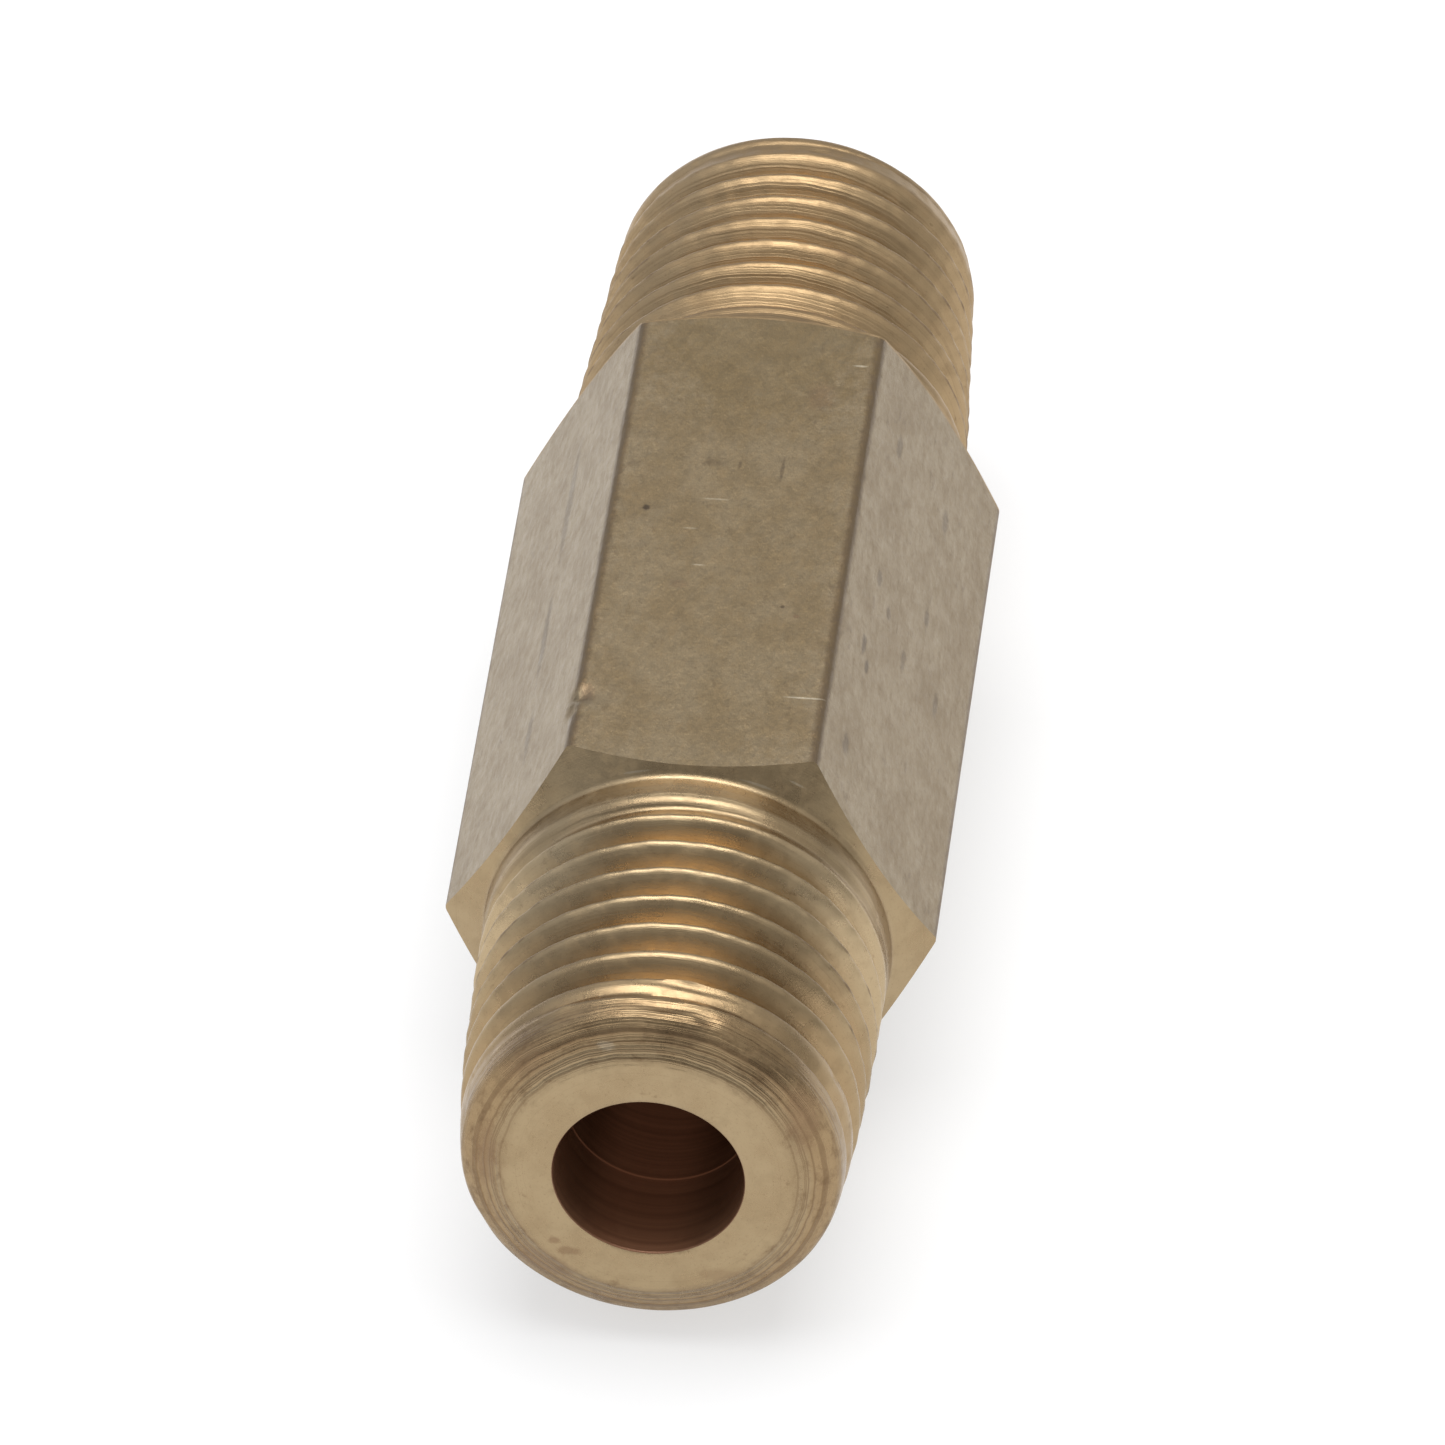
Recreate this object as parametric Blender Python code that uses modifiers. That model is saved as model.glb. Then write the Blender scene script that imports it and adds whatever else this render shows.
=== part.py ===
"""In-line needle valve turned from hexagon bar, with its needle, screw and spring inside the body.

Metres, +Z up. The flow axis is world Y and the body's centre is the origin: one port looks along -Y, the
other, with the screwdriver slot behind it, along +Y, and +Z is the normal of the top flat. Every piece is
modelled upright, its own +Z being the flow axis, and is then laid down so that this axis is world +Y.
A "station" below is a distance along that axis from the body's centre.
"""

import math

import bmesh
import bpy
from mathutils import Matrix, Vector

MM = 0.001

# Body: hexagon bar with a taper pipe thread turned on each end.
BODY_LENGTH = 50.8 * MM
HEX_ACROSS_FLATS = 14.2875 * MM
HEX_EDGE_RADIUS = 0.15 * MM
FLAT_END = 12.45 * MM  # station where the middle of a flat ends
CHAMFER_SLOPE = 0.61  # axial length of the hexagon's end chamfer for each unit of radius
SHANK_FILLET = 0.45 * MM  # rounding between the chamfer and the thread's shank

# Male 1/4-18 taper pipe threads.
THREAD_PITCH = 25.4 / 18 * MM
THREAD_BASE_RADIUS = 6.87 * MM
THREAD_DEPTH = 0.55 * MM
THREAD_ROWS_PER_PITCH = 4
THREAD_TURNS = 8
FACE_RADIUS = 4.9 * MM  # outer radius of the flat ring round a port
LEAD_IN_LENGTH = 1.2 * MM
FRONT_TAPER = (8.9 * MM, 1 / 32)  # where the taper starts from the end face, and radius lost per length
REAR_TAPER = (10.9 * MM, 0.060)

# Bores, from the rear port to the front one.
PORT_RADIUS = 3.20 * MM
SCREW_BORE_RADIUS = 3.00 * MM
GUIDE_BORE_RADIUS = 2.75 * MM
WEB_HOLE_RADIUS = 1.60 * MM
FRONT_BORE_RADIUS = 3.14 * MM
FRONT_STEP_DEPTH = 3.8 * MM
REAR_COUNTERBORE_END = 15.5 * MM
SCREW_BORE_END = 4.4 * MM
GUIDE_BORE_END = -4.5 * MM
WEB_END = -5.4 * MM
FRONT_BORE_END = -6.3 * MM
MOUTH_CHAMFER = 0.12 * MM

# Retaining ring and its groove.
RING_STATION = 21.75 * MM
RING_THICKNESS = 0.60 * MM
RING_OUTER_RADIUS = 3.50 * MM
RING_INNER_RADIUS = 2.75 * MM
RING_LUG_HEIGHT = 0.42 * MM
RING_LUG_HALF_ANGLE = math.radians(10)
RING_HOLE_RADIUS = 0.20 * MM
RING_GAP_HALF_ANGLE = math.radians(22)
GROOVE_RADIUS = 3.57 * MM
GROOVE_WIDTH = 0.72 * MM

# Seat insert and its O-ring.
SEAT_FRONT = -4.40 * MM
SEAT_REAR = -1.20 * MM
SEAT_RADIUS = 2.68 * MM
ORIFICE_RADIUS = 1.00 * MM
SEAT_LAND = -2.00 * MM  # station of the edge that the needle closes on
O_RING_RADIUS = 2.36 * MM
O_RING_SECTION = 0.27 * MM
O_RING_GROOVE = 0.64 * MM

# Needle guide, a spider with a D-shaped hole.
GUIDE_FRONT = 1.70 * MM
GUIDE_REAR = 4.10 * MM
GUIDE_HOLES = 5
GUIDE_HOLE_RADIUS = 0.43 * MM
GUIDE_HOLE_CIRCLE = 1.93 * MM

# Metering needle.
NEEDLE_RADIUS = 1.10 * MM
NEEDLE_HALF_ANGLE = math.radians(15)
NEEDLE_TIP_RADIUS = 0.30 * MM
NEEDLE_GAP = 0.05 * MM  # clearance kept between touching pieces
NEEDLE_FLAT = 0.85 * MM  # distance of the anti-turn flat from the axis
NEEDLE_FLAT_FRONT = -1.10 * MM
NECK_FRONT = 5.95 * MM
NECK_REAR = 6.80 * MM
NECK_RADIUS = 0.65 * MM
HEAD_REAR = 8.25 * MM
SLIDE_CLEARANCE = 0.06 * MM

# Adjusting screw.
SCREW_FRONT = 5.00 * MM
SCREW_REAR = 13.00 * MM
SCREW_RADIUS = 2.92 * MM
SCREW_CHAMFER = 0.35 * MM
SCREW_FLATS = 4.20 * MM  # across the two lengthwise flats that let the fluid past
SOCKET_RADIUS = 1.35 * MM
SOCKET_END = 8.40 * MM
SLOT_WIDTH = 1.00 * MM
SLOT_DEPTH = 1.40 * MM
PIN_RADIUS = 0.25 * MM
PIN_OFFSET = 0.96 * MM
PIN_STATION = 6.35 * MM
PIN_LENGTH = 5.20 * MM
PIN_HOLE_RADIUS = 0.30 * MM

# Thrust washer and spring.
WASHER_FRONT = 13.06 * MM
WASHER_REAR = 13.46 * MM
WASHER_OUTER_RADIUS = 2.88 * MM
WASHER_INNER_RADIUS = 2.30 * MM
SPRING_WIRE_RADIUS = 0.27 * MM
SPRING_RADIUS = 2.52 * MM
SPRING_TURNS = 6.5
SPRING_CLOSED_TURNS = 0.8  # closed coils at each end
SPRING_CLOSED_PITCH = 0.60 * MM
SPRING_POINTS_PER_TURN = 14

ROUND_STEPS = 48
THREAD_STEPS = 36
SMALL_STEPS = 24
MERGE = 1e-6
CUT_MARGIN = 1.0 * MM  # how far a cutter runs past the faces that it cuts
SHARP_ANGLE = math.radians(35)
LAID_DOWN = Matrix.Rotation(-math.pi / 2, 4, "X")  # own +Z becomes world +Y


def clear_scene():
    for old in list(bpy.data.objects):
        bpy.data.objects.remove(old, do_unlink=True)


def collection(name):
    made = bpy.data.collections.new(name)
    bpy.context.scene.collection.children.link(made)
    return made


def material(name, colour, roughness, metallic=1.0):
    made = bpy.data.materials.new(name)
    made.use_nodes = True
    shader = made.node_tree.nodes["Principled BSDF"]
    shader.inputs["Base Color"].default_value = (*colour, 1.0)
    shader.inputs["Roughness"].default_value = roughness
    shader.inputs["Metallic"].default_value = metallic
    return made


def place(obj, group, station=0.0):
    """Puts an upright object into its collection, lays it along world +Y and moves it to its station."""
    group.objects.link(obj)
    obj.matrix_world = Matrix.Translation((0.0, station, 0.0)) @ LAID_DOWN
    return obj


def as_part(obj, mat):
    obj.data.materials.clear()
    obj.data.materials.append(mat)
    return obj


def as_cutter(obj):
    obj.hide_render = True
    obj.display_type = "WIRE"
    return obj


def shade_round(mesh):
    mesh.shade_smooth()
    mesh.set_sharp_from_angle(angle=SHARP_ANGLE)


def turned(name, group, outline, steps=ROUND_STEPS, hollow=False, origin=0.0):
    """A turned solid. Its outline is (radius, station) points down the outer side; a hollow one closes on
    itself, up the inner side, and a solid one starts and ends on the axis. Origin is a station."""
    mesh = bpy.data.meshes.new(name)
    points = [(radius, 0.0, station - origin) for radius, station in outline]
    edges = [(i, i + 1) for i in range(len(points) - 1)]
    if hollow:
        edges.append((len(points) - 1, 0))
    mesh.from_pydata(points, edges, [])
    obj = place(bpy.data.objects.new(name, mesh), group, origin)
    screw = obj.modifiers.new("turn", "SCREW")
    screw.axis = "Z"
    screw.angle = math.tau
    screw.steps = steps
    screw.render_steps = steps
    screw.use_merge_vertices = True
    screw.merge_threshold = MERGE
    screw.use_smooth_shade = True
    return obj


def realised(obj):
    """The object with its modifiers' result as its own mesh."""
    graph = bpy.context.evaluated_depsgraph_get()
    mesh = bpy.data.meshes.new_from_object(obj.evaluated_get(graph))
    obj.modifiers.clear()
    obj.data = mesh
    return obj


def block(name, group, low, high):
    """A box between two corners in upright coordinates."""
    bm = bmesh.new()
    bmesh.ops.create_cube(bm, size=1.0)
    size = Vector(high) - Vector(low)
    centre = (Vector(high) + Vector(low)) / 2
    bmesh.ops.scale(bm, vec=size, verts=bm.verts)
    bmesh.ops.translate(bm, vec=centre, verts=bm.verts)
    mesh = bpy.data.meshes.new(name)
    bm.to_mesh(mesh)
    bm.free()
    return place(bpy.data.objects.new(name, mesh), group)


def rods(name, group, radius, length, matrices, steps, station=0.0):
    """Cylinders of one size, each made along Z round the origin and moved by its own matrix."""
    bm = bmesh.new()
    for matrix in matrices:
        bmesh.ops.create_cone(
            bm,
            cap_ends=True,
            segments=steps,
            radius1=radius,
            radius2=radius,
            depth=length,
            matrix=matrix,
        )
    mesh = bpy.data.meshes.new(name)
    bm.to_mesh(mesh)
    bm.free()
    return place(bpy.data.objects.new(name, mesh), group, station)


def boolean(obj, tool, operation="DIFFERENCE"):
    cut = obj.modifiers.new(tool.name, "BOOLEAN")
    cut.operation = operation
    cut.object = tool
    cut.solver = "EXACT"
    return obj


# ---------------------------------------------------------------------------------------- valve body


def crest_radius(depth, taper):
    """Radius over the thread crests at a depth from the end face."""
    start, slope = taper
    return THREAD_BASE_RADIUS - slope * max(0.0, start - depth)


def end_outline(taper):
    """(radius, depth from the end face) points of a threaded end: face, rounded lead-in, thread rows."""
    lead_radius = crest_radius(LEAD_IN_LENGTH, taper)
    points = [(FACE_RADIUS, 0.0)]
    for step in range(1, 4):
        angle = step / 4 * math.pi / 2
        radius = FACE_RADIUS + (lead_radius - FACE_RADIUS) * math.sin(angle)
        points.append((radius, LEAD_IN_LENGTH * (1 - math.cos(angle))))
    row = THREAD_PITCH / THREAD_ROWS_PER_PITCH
    for step in range(THREAD_TURNS * THREAD_ROWS_PER_PITCH + 1):
        depth = LEAD_IN_LENGTH + step * row
        points.append((crest_radius(depth, taper), depth))
    return points


def cut_thread(mesh):
    """Sinks a right-hand helical groove into the rows of both threaded ends."""
    thread_end = LEAD_IN_LENGTH + THREAD_TURNS * THREAD_PITCH
    for vertex in mesh.vertices:
        depth = BODY_LENGTH / 2 - abs(vertex.co.z)
        radius = math.hypot(vertex.co.x, vertex.co.y)
        if radius < FACE_RADIUS * 1.02 or depth > thread_end:
            continue
        turn = math.atan2(vertex.co.y, vertex.co.x) / math.tau
        phase = vertex.co.z / THREAD_PITCH - turn
        run_in = min(1.0, depth / LEAD_IN_LENGTH)
        run_out = min(1.0, (thread_end - depth) / THREAD_PITCH)
        groove = THREAD_DEPTH * run_in * run_out * (1 - math.cos(math.tau * phase)) / 2
        keep = (radius - groove) / radius
        vertex.co.x *= keep
        vertex.co.y *= keep


def bar_blank(group):
    """The turned blank: both threaded ends and a fat middle, whose ends are the hexagon's end chamfer."""
    half = BODY_LENGTH / 2
    flat_radius = HEX_ACROSS_FLATS / 2
    fat_radius = flat_radius * 1.3
    cone_top = FLAT_END + CHAMFER_SLOPE * (flat_radius - THREAD_BASE_RADIUS)
    cone_foot = FLAT_END - CHAMFER_SLOPE * (fat_radius - flat_radius)
    cone_angle = math.atan2(1.0, CHAMFER_SLOPE)
    fillet_end = cone_top + SHANK_FILLET * math.tan(cone_angle / 2)
    rear = [(radius, half - depth) for radius, depth in end_outline(REAR_TAPER)]
    front = [(radius, depth - half) for radius, depth in end_outline(FRONT_TAPER)]
    middle = []
    for step in range(4):
        angle = step / 3 * cone_angle
        radius = THREAD_BASE_RADIUS + SHANK_FILLET * (1 - math.cos(angle))
        middle.append((radius, fillet_end - SHANK_FILLET * math.sin(angle)))
    middle.append((fat_radius, cone_foot))
    lower = [(radius, -station) for radius, station in reversed(middle)]
    outline = [(0.0, half), *rear, *middle, *lower, *reversed(front), (0.0, -half)]
    blank = realised(turned("valve_body", group, outline, THREAD_STEPS))
    cut_thread(blank.data)
    return blank


def hex_bar(group):
    """Hexagon bar with rounded long edges and a flat on its top side."""
    bm = bmesh.new()
    bmesh.ops.create_cone(
        bm,
        cap_ends=True,
        segments=6,
        radius1=HEX_ACROSS_FLATS / math.sqrt(3),
        radius2=HEX_ACROSS_FLATS / math.sqrt(3),
        depth=BODY_LENGTH + 2 * CUT_MARGIN,
        matrix=Matrix.Rotation(math.radians(30), 4, "Z"),
    )
    long_edges = [e for e in bm.edges if abs(e.verts[0].co.z - e.verts[1].co.z) > MM]
    bmesh.ops.bevel(
        bm, geom=long_edges, offset=HEX_EDGE_RADIUS, segments=2, profile=0.5, affect="EDGES"
    )
    mesh = bpy.data.meshes.new("hex_bar")
    bm.to_mesh(mesh)
    bm.free()
    return as_cutter(place(bpy.data.objects.new("hex_bar", mesh), group))


def bore_cutter(group):
    """Everything that is drilled and bored out of the body, as one turned cutter through its whole length."""
    half = BODY_LENGTH / 2
    mouth_radius = PORT_RADIUS + MOUTH_CHAMFER
    groove_rear = RING_STATION + GROOVE_WIDTH / 2
    groove_front = RING_STATION - GROOVE_WIDTH / 2
    outline = [
        (0.0, half + CUT_MARGIN),
        (mouth_radius, half + CUT_MARGIN),
        (mouth_radius, half),
        (PORT_RADIUS, half - MOUTH_CHAMFER),
        (PORT_RADIUS, groove_rear),
        (GROOVE_RADIUS, groove_rear),
        (GROOVE_RADIUS, groove_front),
        (PORT_RADIUS, groove_front),
        (PORT_RADIUS, REAR_COUNTERBORE_END),
        (SCREW_BORE_RADIUS, REAR_COUNTERBORE_END),
        (SCREW_BORE_RADIUS, SCREW_BORE_END),
        (GUIDE_BORE_RADIUS, SCREW_BORE_END),
        (GUIDE_BORE_RADIUS, GUIDE_BORE_END),
        (WEB_HOLE_RADIUS, GUIDE_BORE_END),
        (WEB_HOLE_RADIUS, WEB_END),
        (FRONT_BORE_RADIUS, FRONT_BORE_END),
        (FRONT_BORE_RADIUS, FRONT_STEP_DEPTH - half),
        (PORT_RADIUS, FRONT_STEP_DEPTH - half),
        (PORT_RADIUS, MOUTH_CHAMFER - half),
        (mouth_radius, -half),
        (mouth_radius, -half - CUT_MARGIN),
        (0.0, -half - CUT_MARGIN),
    ]
    return as_cutter(turned("bores", group, outline))


def make_body(parts, cutters, brass):
    body = bar_blank(parts)
    boolean(body, hex_bar(cutters), "INTERSECT")
    boolean(body, bore_cutter(cutters))
    shade_round(body.data)
    return as_part(body, brass)


# ------------------------------------------------------------------------------------- seat and guide


def make_seat_insert(parts, cutters, steel):
    """Bush with the metering orifice: a countersink on its rear side, a rabbet for the O-ring in front."""
    rabbet = SEAT_RADIUS - O_RING_GROOVE
    sink_radius = ORIFICE_RADIUS + (SEAT_REAR - SEAT_LAND)
    outline = [
        (sink_radius, SEAT_REAR),
        (SEAT_RADIUS, SEAT_REAR),
        (SEAT_RADIUS, SEAT_FRONT + O_RING_GROOVE),
        (rabbet, SEAT_FRONT + O_RING_GROOVE),
        (rabbet, SEAT_FRONT),
        (ORIFICE_RADIUS, SEAT_FRONT),
        (ORIFICE_RADIUS, SEAT_LAND),
    ]
    return as_part(turned("seat_insert", parts, outline, hollow=True), steel)


def make_o_ring(parts, cutters, rubber):
    """Rubber ring in the seat insert's rabbet."""
    station = SEAT_FRONT + O_RING_GROOVE / 2
    outline = []
    for step in range(12):
        angle = -step / 12 * math.tau
        radius = O_RING_RADIUS + O_RING_SECTION * math.cos(angle)
        outline.append((radius, station + O_RING_SECTION * math.sin(angle)))
    ring = turned("seat_o_ring", parts, outline, SMALL_STEPS * 3 // 2, hollow=True, origin=station)
    return as_part(ring, rubber)


def make_guide(parts, cutters, brass):
    """Spider that carries the needle: a D-shaped hole in the middle and a ring of flow holes."""
    hole_radius = NEEDLE_RADIUS + SLIDE_CLEARANCE
    outline = [
        (hole_radius, GUIDE_REAR),
        (SEAT_RADIUS, GUIDE_REAR),
        (SEAT_RADIUS, GUIDE_FRONT),
        (hole_radius, GUIDE_FRONT),
    ]
    guide = turned("needle_guide", parts, outline, hollow=True)
    flat = NEEDLE_FLAT + SLIDE_CLEARANCE
    key = block(
        "guide_key",
        cutters,
        (-hole_radius * 0.9, -hole_radius * 1.1, GUIDE_FRONT),
        (hole_radius * 0.9, -flat, GUIDE_REAR),
    )
    boolean(guide, as_cutter(key), "UNION")
    middle = (GUIDE_FRONT + GUIDE_REAR) / 2
    spots = [
        Matrix.Rotation((k + 0.5) * math.tau / GUIDE_HOLES, 4, "Z")
        @ Matrix.Translation((0.0, GUIDE_HOLE_CIRCLE, middle))
        for k in range(GUIDE_HOLES)
    ]
    length = GUIDE_REAR - GUIDE_FRONT + 2 * CUT_MARGIN
    holes = rods("flow_holes", cutters, GUIDE_HOLE_RADIUS, length, spots, SMALL_STEPS)
    boolean(guide, as_cutter(holes))
    return as_part(guide, brass)


# --------------------------------------------------------------------------------- needle and screw


def make_needle(parts, cutters, steel):
    """Needle with a metering cone, a stem with one flat, and a grooved head that the screw turns round."""
    slope = math.tan(NEEDLE_HALF_ANGLE)
    land_radius = ORIFICE_RADIUS - NEEDLE_GAP
    cone_rear = SEAT_LAND + (NEEDLE_RADIUS - land_radius) / slope
    tip = SEAT_LAND - (land_radius - NEEDLE_TIP_RADIUS) / slope
    head_chamfer = NEEDLE_RADIUS * 0.3
    outline = [
        (0.0, HEAD_REAR),
        (NEEDLE_RADIUS - head_chamfer, HEAD_REAR),
        (NEEDLE_RADIUS, HEAD_REAR - head_chamfer),
        (NEEDLE_RADIUS, NECK_REAR),
        (NECK_RADIUS, NECK_REAR),
        (NECK_RADIUS, NECK_FRONT),
        (NEEDLE_RADIUS, NECK_FRONT),
        (NEEDLE_RADIUS, cone_rear),
        (NEEDLE_TIP_RADIUS, tip),
        (NEEDLE_TIP_RADIUS * 0.5, tip - NEEDLE_TIP_RADIUS * 0.6),
        (0.0, tip - NEEDLE_TIP_RADIUS * 0.7),
    ]
    needle = turned("metering_needle", parts, outline)
    reach = NEEDLE_RADIUS * 2
    flat = block(
        "needle_flat",
        cutters,
        (-reach, -reach, NEEDLE_FLAT_FRONT),
        (reach, -NEEDLE_FLAT, (NECK_FRONT + GUIDE_REAR) / 2),
    )
    boolean(needle, as_cutter(flat))
    return as_part(needle, steel)


def pin_matrices():
    """The two swivel pins stand across the screw, one on each side of the needle's neck."""
    across = Matrix.Rotation(math.pi / 2, 4, "X")
    return [Matrix.Translation((side * PIN_OFFSET, 0.0, 0.0)) @ across for side in (-1, 1)]


def make_screw(parts, cutters, steel):
    """Slotted screw with a socket for the needle's head and two lengthwise flats that let the fluid past."""
    outline = [
        (0.0, SCREW_REAR),
        (SCREW_RADIUS - SCREW_CHAMFER, SCREW_REAR),
        (SCREW_RADIUS, SCREW_REAR - SCREW_CHAMFER),
        (SCREW_RADIUS, SCREW_FRONT + SCREW_CHAMFER),
        (SCREW_RADIUS - SCREW_CHAMFER, SCREW_FRONT),
        (SOCKET_RADIUS, SCREW_FRONT),
        (SOCKET_RADIUS, SOCKET_END),
        (0.0, SOCKET_END + SOCKET_RADIUS * 0.3),
    ]
    screw = turned("adjusting_screw", parts, outline)
    reach = SCREW_RADIUS + CUT_MARGIN
    front = SCREW_FRONT - CUT_MARGIN
    rear = SCREW_REAR + CUT_MARGIN
    for side in (-1, 1):
        near, far = sorted((side * SCREW_FLATS / 2, side * reach))
        flat = block(f"screw_flat_{side}", cutters, (near, -reach, front), (far, reach, rear))
        boolean(screw, as_cutter(flat))
    slot = block(
        "screw_slot",
        cutters,
        (-SLOT_WIDTH / 2, -reach, SCREW_REAR - SLOT_DEPTH),
        (SLOT_WIDTH / 2, reach, rear),
    )
    boolean(screw, as_cutter(slot))
    length = 2 * reach
    holes = rods("pin_holes", cutters, PIN_HOLE_RADIUS, length, pin_matrices(), 16, PIN_STATION)
    boolean(screw, as_cutter(holes))
    return as_part(screw, steel)


def make_swivel_pins(parts, cutters, steel):
    for name, matrix in zip(("swivel_pin_left", "swivel_pin_right"), pin_matrices()):
        pin = rods(name, parts, PIN_RADIUS, PIN_LENGTH, [matrix], 16, PIN_STATION)
        shade_round(pin.data)
        as_part(pin, steel)


# ------------------------------------------------------------------------- washer, spring and ring


def make_washer(parts, cutters, steel):
    outline = [
        (WASHER_INNER_RADIUS, WASHER_REAR),
        (WASHER_OUTER_RADIUS, WASHER_REAR),
        (WASHER_OUTER_RADIUS, WASHER_FRONT),
        (WASHER_INNER_RADIUS, WASHER_FRONT),
    ]
    return as_part(turned("thrust_washer", parts, outline, hollow=True), steel)


def spring_station(turn, front, rear):
    """Station of the wire's centre after so many turns: closed coils at both ends, open ones between."""
    closed = SPRING_CLOSED_TURNS * SPRING_CLOSED_PITCH
    if turn < SPRING_CLOSED_TURNS:
        return front + turn * SPRING_CLOSED_PITCH
    if turn > SPRING_TURNS - SPRING_CLOSED_TURNS:
        return rear - (SPRING_TURNS - turn) * SPRING_CLOSED_PITCH
    share = (turn - SPRING_CLOSED_TURNS) / (SPRING_TURNS - 2 * SPRING_CLOSED_TURNS)
    return front + closed + share * (rear - front - 2 * closed)


def make_spring(parts, cutters, steel):
    """Open coil between the washer and the retaining ring, wound right-hand."""
    front = WASHER_REAR + NEEDLE_GAP + SPRING_WIRE_RADIUS
    rear = RING_STATION - RING_THICKNESS / 2 - NEEDLE_GAP - SPRING_WIRE_RADIUS
    count = int(SPRING_TURNS * SPRING_POINTS_PER_TURN) + 1
    curve = bpy.data.curves.new("load_spring", "CURVE")
    curve.dimensions = "3D"
    curve.bevel_depth = SPRING_WIRE_RADIUS
    curve.bevel_resolution = 2
    curve.use_fill_caps = True
    line = curve.splines.new("POLY")
    line.points.add(count - 1)
    for index in range(count):
        turn = index / SPRING_POINTS_PER_TURN
        angle = turn * math.tau
        line.points[index].co = (
            SPRING_RADIUS * math.cos(angle),
            SPRING_RADIUS * math.sin(angle),
            spring_station(turn, front, rear),
            1.0,
        )
    return as_part(place(bpy.data.objects.new("load_spring", curve), parts), steel)


def circle(radius, steps, centre=(0.0, 0.0)):
    angles = [math.tau * step / steps for step in range(steps)]
    return [(centre[0] + radius * math.cos(a), centre[1] + radius * math.sin(a)) for a in angles]


def ring_outline():
    """Outer edge one way round and inner edge back, with a half-round lug on the inner edge at each end."""
    first, last = RING_GAP_HALF_ANGLE, math.tau - RING_GAP_HALF_ANGLE
    steps = 64
    angles = [first + (last - first) * step / steps for step in range(steps + 1)]
    outer = [(RING_OUTER_RADIUS * math.cos(a), RING_OUTER_RADIUS * math.sin(a)) for a in angles]
    inner = []
    for angle in reversed(angles):
        from_end = min(angle - first, last - angle) / RING_LUG_HALF_ANGLE
        rise = math.sqrt(max(0.0, 1.0 - (from_end - 1.0) ** 2))
        radius = RING_INNER_RADIUS - RING_LUG_HEIGHT * rise
        inner.append((radius * math.cos(angle), radius * math.sin(angle)))
    return outer + inner


def make_retaining_ring(parts, cutters, steel):
    """Internal snap ring: an open flat ring with a plier hole in the lug at each of its ends."""
    curve = bpy.data.curves.new("retaining_ring", "CURVE")
    curve.dimensions = "2D"
    curve.fill_mode = "BOTH"
    curve.extrude = RING_THICKNESS / 2
    loops = [ring_outline()]
    for side in (-1, 1):
        angle = side * (RING_GAP_HALF_ANGLE + RING_LUG_HALF_ANGLE)
        centre = (RING_INNER_RADIUS * math.cos(angle), RING_INNER_RADIUS * math.sin(angle))
        loops.append(circle(RING_HOLE_RADIUS, 12, centre))
    for loop in loops:
        line = curve.splines.new("POLY")
        line.points.add(len(loop) - 1)
        line.use_cyclic_u = True
        for point, (x, y) in zip(line.points, loop):
            point.co = (x, y, 0.0, 1.0)
    ring = bpy.data.objects.new("retaining_ring", curve)
    return as_part(place(ring, parts, RING_STATION), steel)


def main():
    clear_scene()
    parts = collection("needle_valve")
    cutters = collection("cutters")
    brass = material("drawn_brass", (0.62, 0.50, 0.30), 0.34)
    bush_brass = material("bush_brass", (0.66, 0.53, 0.31), 0.30)
    stainless = material("stainless_steel", (0.56, 0.56, 0.55), 0.28)
    spring_steel = material("spring_steel", (0.36, 0.36, 0.37), 0.38)
    rubber = material("nitrile_rubber", (0.02, 0.02, 0.02), 0.60, 0.0)
    make_body(parts, cutters, brass)
    make_seat_insert(parts, cutters, stainless)
    make_o_ring(parts, cutters, rubber)
    make_guide(parts, cutters, bush_brass)
    make_needle(parts, cutters, stainless)
    make_screw(parts, cutters, bush_brass)
    make_swivel_pins(parts, cutters, spring_steel)
    make_washer(parts, cutters, stainless)
    make_spring(parts, cutters, spring_steel)
    make_retaining_ring(parts, cutters, spring_steel)
    cutters.hide_render = True


main()
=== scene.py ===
"""Looks of an in-line brass needle valve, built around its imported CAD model.

Metres, in the CAD's frame: +Y is the flow axis, the front port looks along -Y, +Z is the normal of the
hexagon's top flat. "Station" is a place along the flow axis, and "depth" a distance in from an end face.
"""

import math

import bpy
import numpy as np
from mathutils import Matrix, Vector


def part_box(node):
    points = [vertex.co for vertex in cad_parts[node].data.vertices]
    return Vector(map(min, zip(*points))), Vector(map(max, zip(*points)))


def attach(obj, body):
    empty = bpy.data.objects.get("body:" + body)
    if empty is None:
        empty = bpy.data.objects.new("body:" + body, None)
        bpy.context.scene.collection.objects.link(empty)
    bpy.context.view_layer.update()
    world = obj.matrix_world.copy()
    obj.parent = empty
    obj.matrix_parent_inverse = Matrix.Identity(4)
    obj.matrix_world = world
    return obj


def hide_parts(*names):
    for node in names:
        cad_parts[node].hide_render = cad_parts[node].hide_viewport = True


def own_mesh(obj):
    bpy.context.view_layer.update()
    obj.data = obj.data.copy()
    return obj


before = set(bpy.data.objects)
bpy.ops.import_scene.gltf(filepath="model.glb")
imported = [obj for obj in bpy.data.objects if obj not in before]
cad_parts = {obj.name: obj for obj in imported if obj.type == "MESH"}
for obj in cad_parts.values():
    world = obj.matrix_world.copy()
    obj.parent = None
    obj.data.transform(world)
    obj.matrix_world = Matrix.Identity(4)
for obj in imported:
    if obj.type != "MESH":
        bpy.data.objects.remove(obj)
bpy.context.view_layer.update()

MM = 0.001
TAU = math.tau

# ------------------------------------------------------------------------------------ body dimensions

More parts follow.
